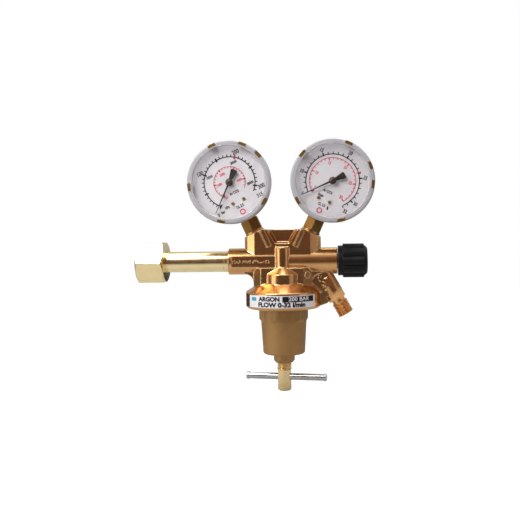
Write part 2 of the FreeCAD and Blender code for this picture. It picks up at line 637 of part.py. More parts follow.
def move_to_frame(shape):
    moved = shape.copy()
    moved.translate(point(INLET_REACH, 0, 0))
    return moved


def main():
    make_inlet()
    make_body()
    make_valve()
    make_diaphragm()
    make_bonnet()
    make_outlet()
    make_relief()
    make_gauge(-1, "high")
    make_gauge(1, "low")
    for group, solids in shared.items():
        parts[group] = Part.makeCompound(solids)
    os.makedirs("parts", exist_ok=True)
    for name, shape in sorted(parts.items()):
        moved = move_to_frame(shape)
        print(name, len(moved.Solids), moved.isValid(), round(moved.Volume, 1))
        moved.exportStep("parts/" + name + ".step")


main()
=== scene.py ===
import math

import bmesh
import bpy
from mathutils import Matrix, Vector


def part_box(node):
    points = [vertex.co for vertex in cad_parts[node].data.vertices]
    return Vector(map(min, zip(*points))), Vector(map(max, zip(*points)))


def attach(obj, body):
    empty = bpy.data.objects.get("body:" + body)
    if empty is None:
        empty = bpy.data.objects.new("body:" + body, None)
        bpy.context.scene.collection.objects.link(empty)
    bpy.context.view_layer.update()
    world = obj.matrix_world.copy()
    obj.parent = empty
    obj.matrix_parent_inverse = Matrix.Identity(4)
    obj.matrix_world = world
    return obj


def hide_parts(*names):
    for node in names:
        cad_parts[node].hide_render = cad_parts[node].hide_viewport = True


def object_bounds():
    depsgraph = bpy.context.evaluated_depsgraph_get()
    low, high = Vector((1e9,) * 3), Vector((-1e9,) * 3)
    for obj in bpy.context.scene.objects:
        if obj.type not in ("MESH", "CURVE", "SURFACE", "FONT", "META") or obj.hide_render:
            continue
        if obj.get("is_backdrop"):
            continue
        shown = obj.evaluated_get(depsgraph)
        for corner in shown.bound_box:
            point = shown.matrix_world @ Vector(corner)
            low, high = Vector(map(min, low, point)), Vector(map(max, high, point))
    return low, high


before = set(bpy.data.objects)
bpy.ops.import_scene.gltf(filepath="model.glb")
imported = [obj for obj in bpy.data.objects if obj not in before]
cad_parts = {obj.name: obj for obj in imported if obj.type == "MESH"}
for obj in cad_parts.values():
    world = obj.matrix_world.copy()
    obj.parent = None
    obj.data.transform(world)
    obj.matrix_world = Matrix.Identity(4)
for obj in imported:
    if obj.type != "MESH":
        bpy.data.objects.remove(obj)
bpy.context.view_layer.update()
mm = 0.001
print("frame loaded:", len(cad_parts), "nodes")


# where things are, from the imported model
def middle(node):
    low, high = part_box(node)
    return (low + high) / 2


springX = middle("range_spring").x


def at(x, y, z):
    return Vector((springX + x * mm, y * mm, z * mm))


gaugeLean = {"high": math.radians(-24.5), "low": math.radians(24.5)}
outletLean = math.radians(29.5)


def dialMatrix(name):
    # from the dial's own axes (x right, z up, y into the case) to the part's
    low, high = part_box(name + "_dial")
    centre = Vector(((low.x + high.x) / 2, 0, (low.z + high.z) / 2))
    return Matrix.Translation(centre) @ Matrix.Rotation(gaugeLean[name], 4, "Y")


# camera and lights first
cameraSettings = {"x": 37.0, "back": 573.3, "z": 26.9, "yaw": 3.0, "roll": 0.76, "focal": 48.97,
                  "shiftX": -0.060, "shiftY": -0.062}


def placeCamera(s):
    yaw, roll = math.radians(s["yaw"]), math.radians(s["roll"])
    level = Vector((math.cos(yaw), math.sin(yaw), 0))
    up = Vector((0, 0, 1))
    right = math.cos(roll) * level - math.sin(roll) * up
    top = math.sin(roll) * level + math.cos(roll) * up
    data = bpy.data.cameras.new("camera")
    data.lens, data.sensor_width = s["focal"], 36.0
    data.shift_x, data.shift_y = s["shiftX"], s["shiftY"]
    camera = bpy.data.objects.new("camera", data)
    bpy.context.scene.collection.objects.link(camera)
    turn = Matrix((right, top, right.cross(top))).transposed().to_4x4()
    camera.matrix_world = Matrix.Translation(at(s["x"], -s["back"], s["z"])) @ turn
    bpy.context.scene.camera = camera


placeCamera(cameraSettings)

lightSettings = {
    "key": {"at": (-300, -330, 420), "size": 0.30, "power": 2.6, "colour": (1.0, 0.98, 0.95)},
    "top": {"at": (40, 40, 520), "size": 0.50, "power": 2.4, "colour": (1.0, 1.0, 1.0)},
    "right": {"at": (480, -240, 60), "size": 0.26, "power": 0.15, "colour": (1.0, 0.99, 0.97)},
    "left": {"at": (-450, -250, -50), "size": 0.30, "power": 0.65, "colour": (1.0, 0.99, 0.96)},
}
for name, s in lightSettings.items():
    lamp = bpy.data.lights.new(name, "AREA")
    lamp.shape, lamp.size, lamp.energy, lamp.color = "SQUARE", s["size"], s["power"], s["colour"]
    light = bpy.data.objects.new(name, lamp)
    bpy.context.scene.collection.objects.link(light)
    place = at(*s["at"])
    aim = (at(0, 0, 0) - place).to_track_quat("-Z", "Y").to_matrix().to_4x4()
    light.matrix_world = Matrix.Translation(place) @ aim
print("camera and lights set")


# node building
def add(tree, kind, inputs=None, **settings):
    node = tree.nodes.new(kind)
    for name, value in settings.items():
        setattr(node, name, value)
    for key, value in (inputs or {}).items():
        if isinstance(value, bpy.types.NodeSocket):
            tree.links.new(value, node.inputs[key])
        else:
            node.inputs[key].default_value = value
    return node


def calc(tree, operation, a, b=0.0, c=0.0, clamp=False):
    node = add(tree, "ShaderNodeMath", {0: a, 1: b, 2: c}, operation=operation, use_clamp=clamp)
    return node.outputs[0]


def span(tree, value, low, high, newLow=0.0, newHigh=1.0):
    node = add(tree, "ShaderNodeMapRange", {"Value": value, "From Min": low, "From Max": high,
                                            "To Min": newLow, "To Max": newHigh})
    return node.outputs["Result"]


def blendColours(tree, factor, a, b):
    node = add(tree, "ShaderNodeMix", data_type="RGBA")
    for socket, value in ((0, factor), (6, a), (7, b)):
        if isinstance(value, bpy.types.NodeSocket):
            tree.links.new(value, node.inputs[socket])
        else:
            node.inputs[socket].default_value = value
    return node.outputs[2]


def newGroup(name, kind, inputs, outputs):
    tree = bpy.data.node_groups.new(name, kind)
    for socket, kindOf, default in inputs:
        made = tree.interface.new_socket(socket, in_out="INPUT", socket_type="NodeSocket" + kindOf)
        if default is not None:
            made.default_value = default
    for socket, kindOf in outputs:
        tree.interface.new_socket(socket, in_out="OUTPUT", socket_type="NodeSocket" + kindOf)
    return tree, tree.nodes.new("NodeGroupInput").outputs, tree.nodes.new("NodeGroupOutput").inputs


def feed(tree, socket, value):
    tree.links.new(value, socket)


def rgb(*values):
    return (*values, 1.0)


# world: white to the camera, with a dark warm side in front of the dials for the metal to reflect
worldSettings = {"front": 0.19, "back": 0.55, "up": 0.95, "down": 0.40, "frontTint": (1.0, 0.54, 0.44),
                 "depthSpan": (-0.6, 0.1), "liftSpan": (0.40, 0.90), "dropSpan": (-0.15, -0.7)}


def makeWorld(s):
    world = bpy.data.worlds.new("studio")
    world.use_nodes = True
    bpy.context.scene.world = world
    tree = world.node_tree
    tree.nodes.clear()
    way = add(tree, "ShaderNodeSeparateXYZ", {0: add(tree, "ShaderNodeTexCoord").outputs["Generated"]})
    depth = span(tree, way.outputs["Y"], *s["depthSpan"], s["front"], s["back"])
    lift = span(tree, way.outputs["Z"], *s["liftSpan"], 0.0, s["up"])
    drop = span(tree, way.outputs["Z"], *s["dropSpan"], 0.0, s["down"])
    shade = calc(tree, "MAXIMUM", depth, calc(tree, "MAXIMUM", lift, drop))
    strength = calc(tree, "MAXIMUM", shade, add(tree, "ShaderNodeLightPath").outputs["Is Camera Ray"])
    tint = blendColours(tree, span(tree, strength, s["front"], s["back"]), rgb(*s["frontTint"]), rgb(1, 1, 1))
    sky = add(tree, "ShaderNodeBackground", {"Color": tint, "Strength": strength})
    out = add(tree, "ShaderNodeOutputWorld")
    feed(tree, out.inputs["Surface"], sky.outputs[0])


makeWorld(worldSettings)


# shared shader effects
def makeSoftEdges():
    # rounds the corners for light, and gives a mask along them that brightens the colour there: partly rubbed
    # wear, partly a painted highlight
    tree, given, out = newGroup("softEdges", "ShaderNodeTree", [("Radius", "Float", 0.0004)],
                                [("Normal", "Vector"), ("Wear And Highlight", "Float")])
    bevel = add(tree, "ShaderNodeBevel", {"Radius": given["Radius"]}, samples=4)
    flat = add(tree, "ShaderNodeNewGeometry").outputs["Normal"]
    facing = add(tree, "ShaderNodeVectorMath", {0: bevel.outputs[0], 1: flat}, operation="DOT_PRODUCT")
    feed(tree, out["Normal"], bevel.outputs[0])
    feed(tree, out["Wear And Highlight"], span(tree, facing.outputs["Value"], 0.995, 0.90))
    return tree


def makeGrain():
    # cast or blasted skin: broad cloudy tone, fine grain, and the height of both
    tree, given, out = newGroup("grain", "ShaderNodeTree",
                                [("Scale", "Float", 900.0), ("Cloud Scale", "Float", 60.0),
                                 ("Seed", "Float", 0.0)],
                                [("Tone", "Float"), ("Grain", "Float"), ("Height", "Float")])
    place = add(tree, "ShaderNodeTexCoord").outputs["Object"]
    cloud = add(tree, "ShaderNodeTexNoise", {
        "Vector": place, "W": given["Seed"], "Scale": given["Cloud Scale"], "Detail": 3.0},
        noise_dimensions="4D")
    fine = add(tree, "ShaderNodeTexNoise", {
        "Vector": place, "W": given["Seed"], "Scale": given["Scale"], "Detail": 4.0, "Roughness": 0.6},
        noise_dimensions="4D")
    feed(tree, out["Tone"], span(tree, cloud.outputs[0], 0.32, 0.68))
    feed(tree, out["Grain"], span(tree, fine.outputs[0], 0.3, 0.7))
    feed(tree, out["Height"], calc(tree, "MULTIPLY_ADD", cloud.outputs[0], 0.6, fine.outputs[0]))
    return tree


def makeToolLines():
    # fine rings left by a lathe tool, across the given direction
    tree, given, out = newGroup("toolLines", "ShaderNodeTree",
                                [("Along", "Vector", (1.0, 0.0, 0.0)), ("Spacing", "Float", 0.0003)],
                                [("Line", "Float"), ("Smear", "Float")])
    place = add(tree, "ShaderNodeTexCoord").outputs["Object"]
    step = add(tree, "ShaderNodeVectorMath", {0: place, 1: given["Along"]}, operation="DOT_PRODUCT")
    lines = add(tree, "ShaderNodeTexNoise", {
        "W": calc(tree, "DIVIDE", step.outputs["Value"], given["Spacing"]), "Scale": 1.0, "Detail": 3.0},
        noise_dimensions="1D")
    smear = add(tree, "ShaderNodeTexNoise", {"Vector": place, "Scale": 140.0, "Detail": 2.0})
    feed(tree, out["Line"], span(tree, lines.outputs[0], 0.3, 0.7))
    feed(tree, out["Smear"], span(tree, smear.outputs[0], 0.35, 0.65))
    return tree


softEdges, grain, toolLines = makeSoftEdges(), makeGrain(), makeToolLines()


def useGroup(tree, group, inputs):
    node = tree.nodes.new("ShaderNodeGroup")
    node.node_tree = group
    for key, value in inputs.items():
        node.inputs[key].default_value = value
    return node.outputs


bumpDepth = {"metal": 0.0003, "lathe": 0.00005, "plastic": 0.0001}   # metres


def newMaterial(name, plain):
    material = bpy.data.materials.new(name)
    material.use_nodes = True
    tree = material.node_tree
    shader = tree.nodes["Principled BSDF"]
    for key, value in plain.items():
        shader.inputs[key].default_value = value
    return material, tree, shader


def skinMetal(name, s):
    material, tree, shader = newMaterial(name, {"Metallic": s.get("metallic", 1.0)})
    skin = useGroup(tree, grain, {"Scale": s["grain"], "Cloud Scale": s["cloud"], "Seed": s["seed"]})
    edge = useGroup(tree, softEdges, {"Radius": s["edge"]})
    tone = blendColours(tree, skin["Tone"], rgb(*s["dark"]), rgb(*s["light"]))
    # edges take a paler colour: partly rubbed wear, partly a painted highlight
    wornHighlight = calc(tree, "MULTIPLY", edge["Wear And Highlight"], s["wearAndHighlight"])
    feed(tree, shader.inputs["Base Color"], blendColours(tree, wornHighlight, tone, rgb(*s["wearHighlightColour"])))
    rough = span(tree, skin["Grain"], 0.0, 1.0, *s["rough"])
    feed(tree, shader.inputs["Roughness"], calc(tree, "MULTIPLY_ADD", wornHighlight, -0.12, rough))
    bump = add(tree, "ShaderNodeBump", {"Strength": s["bump"], "Distance": bumpDepth["metal"],
                                        "Height": skin["Height"], "Normal": edge["Normal"]})
    feed(tree, shader.inputs["Normal"], bump.outputs[0])
    return material


def latheMetal(name, s):
    material, tree, shader = newMaterial(name, {"Metallic": 1.0})
    cut = useGroup(tree, toolLines, {"Along": s["along"], "Spacing": s["spacing"]})
    edge = useGroup(tree, softEdges, {"Radius": s["edge"]})
    tone = blendColours(tree, cut["Smear"], rgb(*s["dark"]), rgb(*s["light"]))
    feed(tree, shader.inputs["Base Color"], tone)
    rough = span(tree, cut["Line"], 0.0, 1.0, *s["rough"])
    feed(tree, shader.inputs["Roughness"], calc(tree, "MULTIPLY_ADD", cut["Smear"], 0.05, rough))
    bump = add(tree, "ShaderNodeBump", {"Strength": s["bump"], "Distance": bumpDepth["lathe"],
                                        "Height": cut["Line"], "Normal": edge["Normal"]})
    feed(tree, shader.inputs["Normal"], bump.outputs[0])
    return material


def mattSolid(name, s):
    material, tree, shader = newMaterial(name, s.get("plain", {}))
    skin = useGroup(tree, grain, {"Scale": s["grain"], "Cloud Scale": 80.0, "Seed": s["seed"]})
    tone = blendColours(tree, skin["Tone"], rgb(*s["dark"]), rgb(*s["light"]))
    feed(tree, shader.inputs["Base Color"], tone)
    feed(tree, shader.inputs["Roughness"], span(tree, skin["Grain"], 0.0, 1.0, *s["rough"]))
    bump = add(tree, "ShaderNodeBump", {"Strength": s["bump"], "Distance": bumpDepth["plastic"],
                                        "Height": skin["Height"]})
    if "edge" in s:
        feed(tree, bump.inputs["Normal"], useGroup(tree, softEdges, {"Radius": s["edge"]})["Normal"])
    feed(tree, shader.inputs["Normal"], bump.outputs[0])
    return material


outletWay = (math.sin(outletLean), 0.0, -math.cos(outletLean))
forgedBrass = skinMetal("forgedBrass", {
    "grain": 1100.0, "cloud": 70.0, "seed": 1.0, "dark": (0.60, 0.315, 0.13), "light": (0.71, 0.41, 0.17),
    "wearHighlightColour": (1.0, 0.84, 0.50), "wearAndHighlight": 0.75, "rough": (0.22, 0.27), "edge": 0.0011, "bump": 0.02})
bonnetBrass = skinMetal("bonnetBrass", {
    "grain": 2600.0, "cloud": 50.0, "seed": 2.0, "dark": (0.38, 0.22, 0.085), "light": (0.45, 0.27, 0.11),
    "wearHighlightColour": (0.62, 0.45, 0.22), "wearAndHighlight": 0.4, "rough": (0.47, 0.58), "edge": 0.0005, "bump": 0.25,
    "metallic": 0.9})
stemBrass = skinMetal("gaugeStemBrass", {
    "grain": 900.0, "cloud": 90.0, "seed": 3.0, "dark": (0.22, 0.115, 0.03), "light": (0.30, 0.17, 0.05),
    "wearHighlightColour": (0.78, 0.56, 0.24), "wearAndHighlight": 0.5, "rough": (0.26, 0.36), "edge": 0.0005, "bump": 0.05})
caseBrass = skinMetal("gaugeCaseBrass", {
    "grain": 1200.0, "cloud": 60.0, "seed": 4.0, "dark": (0.42, 0.29, 0.11), "light": (0.54, 0.38, 0.16),
    "wearHighlightColour": (0.88, 0.76, 0.42), "wearAndHighlight": 0.4, "rough": (0.26, 0.40), "edge": 0.0004, "bump": 0.12})
inletBrass = latheMetal("turnedInletBrass", {
    "along": (1.0, 0.0, 0.0), "spacing": 0.00022, "dark": (0.84, 0.68, 0.37), "light": (0.88, 0.73, 0.42),
    "rough": (0.15, 0.22), "edge": 0.0003, "bump": 0.15})
screwBrass = latheMetal("turnedScrewBrass", {
    "along": (0.0, 0.0, 1.0), "spacing": 0.00022, "dark": (0.82, 0.62, 0.32), "light": (0.88, 0.69, 0.38),
    "rough": (0.16, 0.28), "edge": 0.0003, "bump": 0.25})
outletBrass = latheMetal("turnedOutletBrass", {
    "along": outletWay, "spacing": 0.0002, "dark": (0.80, 0.46, 0.19), "light": (0.86, 0.53, 0.24),
    "rough": (0.18, 0.30), "edge": 0.00025, "bump": 0.25})
backBrass = latheMetal("turnedReliefBrass", {
    "along": (0.0, 1.0, 0.0), "spacing": 0.0002, "dark": (0.84, 0.64, 0.32), "light": (0.92, 0.74, 0.42),
    "rough": (0.18, 0.30), "edge": 0.0003, "bump": 0.25})
chromeBar = latheMetal("platedBar", {
    "along": (0.98769, -0.15643, 0.0), "spacing": 0.0004, "dark": (0.50, 0.51, 0.53),
    "light": (0.58, 0.59, 0.60), "rough": (0.08, 0.17), "edge": 0.0003, "bump": 0.12})
steelPins = latheMetal("turnedSteel", {
    "along": (0.0, 1.0, 0.0), "spacing": 0.0002, "dark": (0.52, 0.52, 0.54), "light": (0.62, 0.62, 0.64),
    "rough": (0.22, 0.36), "edge": 0.0002, "bump": 0.2})
springWire = skinMetal("springWire", {
    "grain": 1800.0, "cloud": 120.0, "seed": 5.0, "dark": (0.30, 0.30, 0.32), "light": (0.46, 0.46, 0.48),
    "wearHighlightColour": (0.6, 0.6, 0.6), "wearAndHighlight": 0.2, "rough": (0.28, 0.42), "edge": 0.0002, "bump": 0.1})
sinterBronze = skinMetal("sinterBronze", {
    "grain": 3200.0, "cloud": 200.0, "seed": 6.0, "dark": (0.30, 0.20, 0.10), "light": (0.52, 0.36, 0.20),
    "wearHighlightColour": (0.6, 0.45, 0.3), "wearAndHighlight": 0.2, "rough": (0.6, 0.8), "edge": 0.0002, "bump": 0.9})
# the raised casting marks are a paler copy of the body brass: partly rubbed wear, partly a painted highlight
markBrassWithHighlight = skinMetal("castMarkBrassWithHighlight", {
    "grain": 1100.0, "cloud": 90.0, "seed": 21.0, "dark": (0.86, 0.62, 0.32), "light": (0.95, 0.74, 0.44),
    "wearHighlightColour": (1.0, 0.88, 0.60), "wearAndHighlight": 0.3, "rough": (0.34, 0.44), "edge": 0.0001, "bump": 0.03})
hubBronze = skinMetal("hubBronze", {
    "grain": 1800.0, "cloud": 200.0, "seed": 7.0, "dark": (0.10, 0.075, 0.06), "light": (0.17, 0.13, 0.11),
    "wearHighlightColour": (0.3, 0.26, 0.22), "wearAndHighlight": 0.5, "rough": (0.30, 0.45), "edge": 0.0002, "bump": 0.2})
knobPlastic = mattSolid("knobPlastic", {
    "grain": 2400.0, "seed": 8.0, "dark": (0.004, 0.004, 0.005), "light": (0.009, 0.009, 0.010),
    "rough": (0.46, 0.58), "bump": 0.25, "edge": 0.0006, "plain": {"Specular IOR Level": 0.22}})
needleBlack = mattSolid("needleBlack", {
    "grain": 1500.0, "seed": 9.0, "dark": (0.006, 0.006, 0.006), "light": (0.012, 0.012, 0.012),
    "rough": (0.42, 0.60), "bump": 0.1})
sealRubber = mattSolid("sealRubber", {
    "grain": 1500.0, "seed": 10.0, "dark": (0.014, 0.014, 0.014), "light": (0.028, 0.028, 0.028),
    "rough": (0.50, 0.70), "bump": 0.3})
seatPlastic = mattSolid("seatPlastic", {
    "grain": 1200.0, "seed": 11.0, "dark": (0.66, 0.62, 0.52), "light": (0.76, 0.73, 0.64),
    "rough": (0.35, 0.50), "bump": 0.15})
dialLacquer = mattSolid("dialLacquer", {
    "grain": 1300.0, "seed": 12.0, "dark": (0.62, 0.61, 0.635), "light": (0.68, 0.67, 0.69),
    "rough": (0.34, 0.46), "bump": 0.05})
labelFilm = mattSolid("labelFilm", {
    "grain": 900.0, "seed": 13.0, "dark": (0.82, 0.82, 0.86), "light": (0.88, 0.88, 0.91),
    "rough": (0.22, 0.34), "bump": 0.05, "edge": 0.0002})
inkBlack = mattSolid("inkBlack", {
    "grain": 1800.0, "seed": 14.0, "dark": (0.008, 0.008, 0.010), "light": (0.020, 0.020, 0.022),
    "rough": (0.35, 0.50), "bump": 0.08, "plain": {"Specular IOR Level": 0.2}})
inkRed = mattSolid("inkRed", {
    "grain": 1800.0, "seed": 15.0, "dark": (0.62, 0.030, 0.075), "light": (0.70, 0.055, 0.11),
    "rough": (0.35, 0.50), "bump": 0.08})
inkBlue = mattSolid("inkBlue", {
    "grain": 1800.0, "seed": 16.0, "dark": (0.06, 0.33, 0.52), "light": (0.09, 0.40, 0.60),
    "rough": (0.28, 0.40), "bump": 0.06})
inkSlate = mattSolid("inkSlate", {
    "grain": 1800.0, "seed": 17.0, "dark": (0.010, 0.013, 0.026), "light": (0.018, 0.022, 0.038),
    "rough": (0.28, 0.40), "bump": 0.06, "plain": {"Specular IOR Level": 0.2}})
print("metals, plastics and inks made")


def clearPlastic(name, s):
    # shadows pass through, so that the dial behind stays evenly lit
    material, tree, shader = newMaterial(name, {
        "Base Color": rgb(*s["colour"]), "Transmission Weight": s["through"], "IOR": s["ior"],
        "Metallic": 0.0, "Specular IOR Level": s["gloss"]})
    skin = useGroup(tree, grain, {"Scale": s["grain"], "Cloud Scale": 40.0, "Seed": s["seed"]})
    feed(tree, shader.inputs["Roughness"], span(tree, skin["Grain"], 0.0, 1.0, *s["rough"]))
    bump = add(tree, "ShaderNodeBump", {"Strength": s["bump"], "Distance": bumpDepth["plastic"],
                                        "Height": skin["Height"]})
    feed(tree, shader.inputs["Normal"], bump.outputs[0])
    clear = add(tree, "ShaderNodeBsdfTransparent", {"Color": rgb(*s["shadow"])})
    ray = add(tree, "ShaderNodeLightPath").outputs["Is Shadow Ray"]
    mixed = add(tree, "ShaderNodeMixShader", {0: ray, 1: shader.outputs[0], 2: clear.outputs[0]})
    feed(tree, tree.nodes["Material Output"].inputs["Surface"], mixed.outputs[0])
    return material


clearPane = clearPlastic("clearPane", {
    "colour": (0.96, 0.965, 0.975), "through": 1.0, "rough": (0.0, 0.03), "ior": 1.35, "gloss": 0.12,
    "bump": 0.01, "grain": 120.0, "seed": 18.0, "shadow": (0.96, 0.96, 0.97)})
frostedRim = clearPlastic("frostedRim", {
    "colour": (0.62, 0.62, 0.66), "through": 0.40, "rough": (0.14, 0.26), "ior": 1.49, "gloss": 0.45,
    "bump": 0.10, "grain": 500.0, "seed": 19.0, "shadow": (0.75, 0.75, 0.77)})


# meshes
def newPiece(name, mesh, material=None):
    piece = bpy.data.objects.new(name, mesh)
    bpy.context.scene.collection.objects.link(piece)
    if material:
        mesh.materials.clear()
        mesh.materials.append(material)
    return piece


def smoothTo(mesh, degrees=32):
    mesh.polygons.foreach_set("use_smooth", [True] * len(mesh.polygons))
    mesh.set_sharp_from_angle(angle=math.radians(degrees))


def settle(piece):
    # the piece's shape with its modifiers, as a plain mesh
    graph = bpy.context.evaluated_depsgraph_get()
    mesh = bpy.data.meshes.new_from_object(piece.evaluated_get(graph))
    bpy.data.objects.remove(piece)
    return mesh


def cadCopy(node):
    # a node's shape as one closed mesh
    made = bmesh.new()
    made.from_mesh(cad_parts[node].data)
    bmesh.ops.remove_doubles(made, verts=made.verts, dist=0.2e-6)
    bmesh.ops.dissolve_limit(made, angle_limit=math.radians(0.2), verts=made.verts, edges=made.edges)
    mesh = bpy.data.meshes.new(node)
    made.to_mesh(mesh)
    made.free()
    normals = mesh.attributes.get("custom_normal")
    if normals:
        mesh.attributes.remove(normals)
    return mesh


def carve(mesh, tool, operation):
    piece, cutter = newPiece("blank", mesh), newPiece("cutter", tool)
    step = piece.modifiers.new("carve", "BOOLEAN")
    step.object, step.operation, step.solver = cutter, operation, "EXACT"
    made = settle(piece)
    bpy.data.objects.remove(cutter)
    return made


def turnMesh(profile, around=64, name="turned"):
    # closed solid about local Z from (radius, z) steps, both ends on the axis
    made = bmesh.new()
    rings = []
    for radius, z in profile:
        if radius == 0:
            rings.append([made.verts.new((0, 0, z))])
        else:
            steps = [2 * math.pi * i / around for i in range(around)]
            rings.append([made.verts.new((radius * math.cos(a), radius * math.sin(a), z)) for a in steps])
    for lower, upper in zip(rings, rings[1:]):
        for i in range(around):
            j = (i + 1) % around
            corners = [lower[i % len(lower)], lower[j % len(lower)],
                       upper[j % len(upper)], upper[i % len(upper)]]
            corners = list(dict.fromkeys(corners))
            if len(corners) > 2:
                made.faces.new(corners)
    bmesh.ops.recalc_face_normals(made, faces=made.faces)
    mesh = bpy.data.meshes.new(name)
    made.to_mesh(mesh)
    made.free()
    return mesh


def lineUp(start, along):
    # local Z laid on a direction, from a starting point
    return Matrix.Translation(start) @ Vector(along).to_track_quat("Z", "Y").to_matrix().to_4x4()


def joinMeshes(name, meshes, material):
    made = bmesh.new()
    for mesh in meshes:
        made.from_mesh(mesh)
    bmesh.ops.remove_doubles(made, verts=made.verts, dist=1e-7)
    mesh = bpy.data.meshes.new(name)
    made.to_mesh(mesh)
    made.free()
    return newPiece(name, mesh, material)


# geometry node trees
def newShapeTree(name, inputs):
    tree, given, out = newGroup(name, "GeometryNodeTree", inputs, [("Geometry", "Geometry")])
    return tree, given, out


def finishShape(tree, out, shape, ink):
    real = add(tree, "GeometryNodeRealizeInstances", {0: shape})
    painted = add(tree, "GeometryNodeSetMaterial", {"Geometry": real.outputs[0], "Material": ink})
    feed(tree, out["Geometry"], painted.outputs[0])


def growShape(tree, values):
    # runs a shape tree with the given inputs and returns a plain mesh
    piece = newPiece("grown", bpy.data.meshes.new("grown"))
    step = piece.modifiers.new("shape", "NODES")
    step.node_group = tree
    for socket in tree.interface.items_tree:
        if socket.in_out == "INPUT" and socket.name in values:
            step[socket.identifier] = values[socket.name]
    return settle(piece)


def makeThreadTree():
    tree, given, out = newShapeTree("threadRod", [
        ("Length", "Float", 0.01), ("Core Radius", "Float", 0.005), ("Crest Radius", "Float", 0.006),
        ("Pitch", "Float", 0.00175), ("Runout", "Float", 0.001), ("Rows", "Int", 60), ("Around", "Int", 56),
        ("Metal", "Material", None)])
    rod = add(tree, "GeometryNodeMeshCylinder", {
        "Vertices": given["Around"], "Side Segments": given["Rows"], "Radius": 1.0, "Depth": given["Length"]})
    place = add(tree, "ShaderNodeSeparateXYZ", {0: add(tree, "GeometryNodeInputPosition").outputs[0]}).outputs
    turns = calc(tree, "DIVIDE", calc(tree, "ARCTAN2", place["Y"], place["X"]), 2 * math.pi)
    phase = calc(tree, "SUBTRACT", calc(tree, "DIVIDE", place["Z"], given["Pitch"]), turns)
    ridge = calc(tree, "PINGPONG", calc(tree, "MULTIPLY", phase, 2.0), 1.0)
    ridge = span(tree, ridge, 0.12, 0.88)
    inside = calc(tree, "SUBTRACT", calc(tree, "MULTIPLY", given["Length"], 0.5),
                  calc(tree, "ABSOLUTE", place["Z"]))
    fade = calc(tree, "DIVIDE", inside, given["Runout"], clamp=True)
    height = calc(tree, "MULTIPLY", calc(tree, "SUBTRACT", given["Crest Radius"], given["Core Radius"]),
                  calc(tree, "MULTIPLY", ridge, fade))
    radius = calc(tree, "ADD", given["Core Radius"], height)
    flat = add(tree, "ShaderNodeCombineXYZ", {0: calc(tree, "MULTIPLY", place["X"], radius),
                                              1: calc(tree, "MULTIPLY", place["Y"], radius), 2: place["Z"]})
    moved = add(tree, "GeometryNodeSetPosition", {
        "Geometry": rod.outputs["Mesh"], "Position": flat.outputs[0]})
    finishShape(tree, out, moved.outputs[0], given["Metal"])
    return tree


def makeScaleTree():
    # a dial's scale: an arc with short and long ticks, in the dial's own axes
    tree, given, out = newShapeTree("dialScale", [
        ("Radius", "Float", 0.02), ("Line Width", "Float", 0.0005), ("Thickness", "Float", 0.00004),
        ("Start", "Float", 0.0), ("Sweep", "Float", 1.0), ("Steps", "Int", 96),
        ("Minor Count", "Int", 10), ("Minor Step", "Float", 0.1), ("Minor Length", "Float", 0.001),
        ("Minor Offset", "Float", 0.0005), ("Minor Width", "Float", 0.0003),
        ("Major Count", "Int", 5), ("Major Start", "Float", 0.0), ("Major Step", "Float", 0.5),
        ("Major Length", "Float", 0.002), ("Major Offset", "Float", 0.0), ("Major Width", "Float", 0.0006),
        ("Ink", "Material", None)])

    def ticks(count, start, step, length, offset, width):
        turn = calc(tree, "MULTIPLY_ADD", add(tree, "GeometryNodeInputIndex").outputs[0], step, start)
        reach = calc(tree, "ADD", given["Radius"], offset)
        spot = add(tree, "ShaderNodeCombineXYZ", {
            0: calc(tree, "MULTIPLY", calc(tree, "SINE", turn), reach),
            2: calc(tree, "MULTIPLY", calc(tree, "COSINE", turn), reach)})
        dots = add(tree, "GeometryNodePoints", {"Count": count, "Position": spot.outputs[0]})
        size = add(tree, "ShaderNodeCombineXYZ", {0: width, 1: given["Thickness"], 2: length})
        mark = add(tree, "GeometryNodeMeshCube", {"Size": size.outputs[0]})
        lean = add(tree, "ShaderNodeCombineXYZ", {1: turn})
        placed = add(tree, "GeometryNodeInstanceOnPoints", {
            "Points": dots.outputs[0], "Instance": mark.outputs["Mesh"], "Rotation": lean.outputs[0]})
        return placed.outputs[0]

    # the arc is a strip of short blocks, each as long as its share of the sweep
    share = calc(tree, "DIVIDE", given["Sweep"], given["Steps"])
    first = calc(tree, "MULTIPLY_ADD", share, 0.5, given["Start"])
    length = calc(tree, "MULTIPLY", calc(tree, "MULTIPLY", share, given["Radius"]), 1.04)
    line = ticks(given["Steps"], first, share, given["Line Width"], 0.0, length)
    minor = ticks(given["Minor Count"], given["Start"], given["Minor Step"], given["Minor Length"],
                  given["Minor Offset"], given["Minor Width"])
    major = ticks(given["Major Count"], given["Major Start"], given["Major Step"], given["Major Length"],
                  given["Major Offset"], given["Major Width"])
    join = add(tree, "GeometryNodeJoinGeometry")
    for shape in (line, minor, major):
        feed(tree, join.inputs[0], shape)
    finishShape(tree, out, join.outputs[0], given["Ink"])
    return tree


